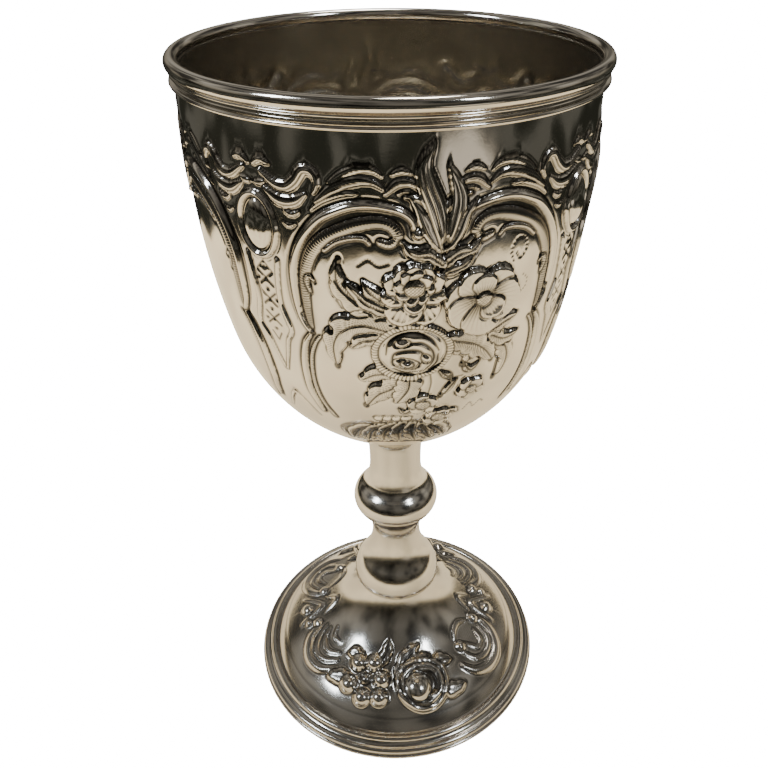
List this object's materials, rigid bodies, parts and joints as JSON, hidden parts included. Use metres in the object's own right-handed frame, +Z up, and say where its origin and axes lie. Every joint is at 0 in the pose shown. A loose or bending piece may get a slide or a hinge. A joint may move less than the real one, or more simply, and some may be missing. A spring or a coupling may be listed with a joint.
{
  "type": "footed cup",
  "caption": "Open footed cup in polished silver: a deep chased bowl with a reeded mouth, a turned stem with a knop, and a domed, chased foot.",
  "frame": {"origin": "centre of the face that the foot stands on", "axes": "+Z up along the axis of turning; -Y is the side of the flower panel"},
  "size_m": [0.0818, 0.0818, 0.165],
  "materials": {
    "bowl_silver": "polished silver, chased, darkened in the recesses",
    "foot_silver": "polished silver, chased, darkened in the recesses",
    "plain_silver": "polished silver",
    "washer_silver": "worn silver",
    "rod_steel": "oiled steel",
    "nut_brass": "dull brass"
  },
  "bodies": {
    "root": {"bowl": "bowl_silver", "lip_wire": "plain_silver", "mouth_moulding": "plain_silver", "bowl_boss": "plain_silver", "stem_neck": "plain_silver", "stem_knop": "plain_silver", "lower_stem": "plain_silver", "foot_dome": "foot_silver", "foot_rim": "plain_silver", "foot_wire": "plain_silver", "tie_rod": "rod_steel", "rod_washer": "washer_silver", "rod_nut": "nut_brass"}
  },
  "joints": []
}
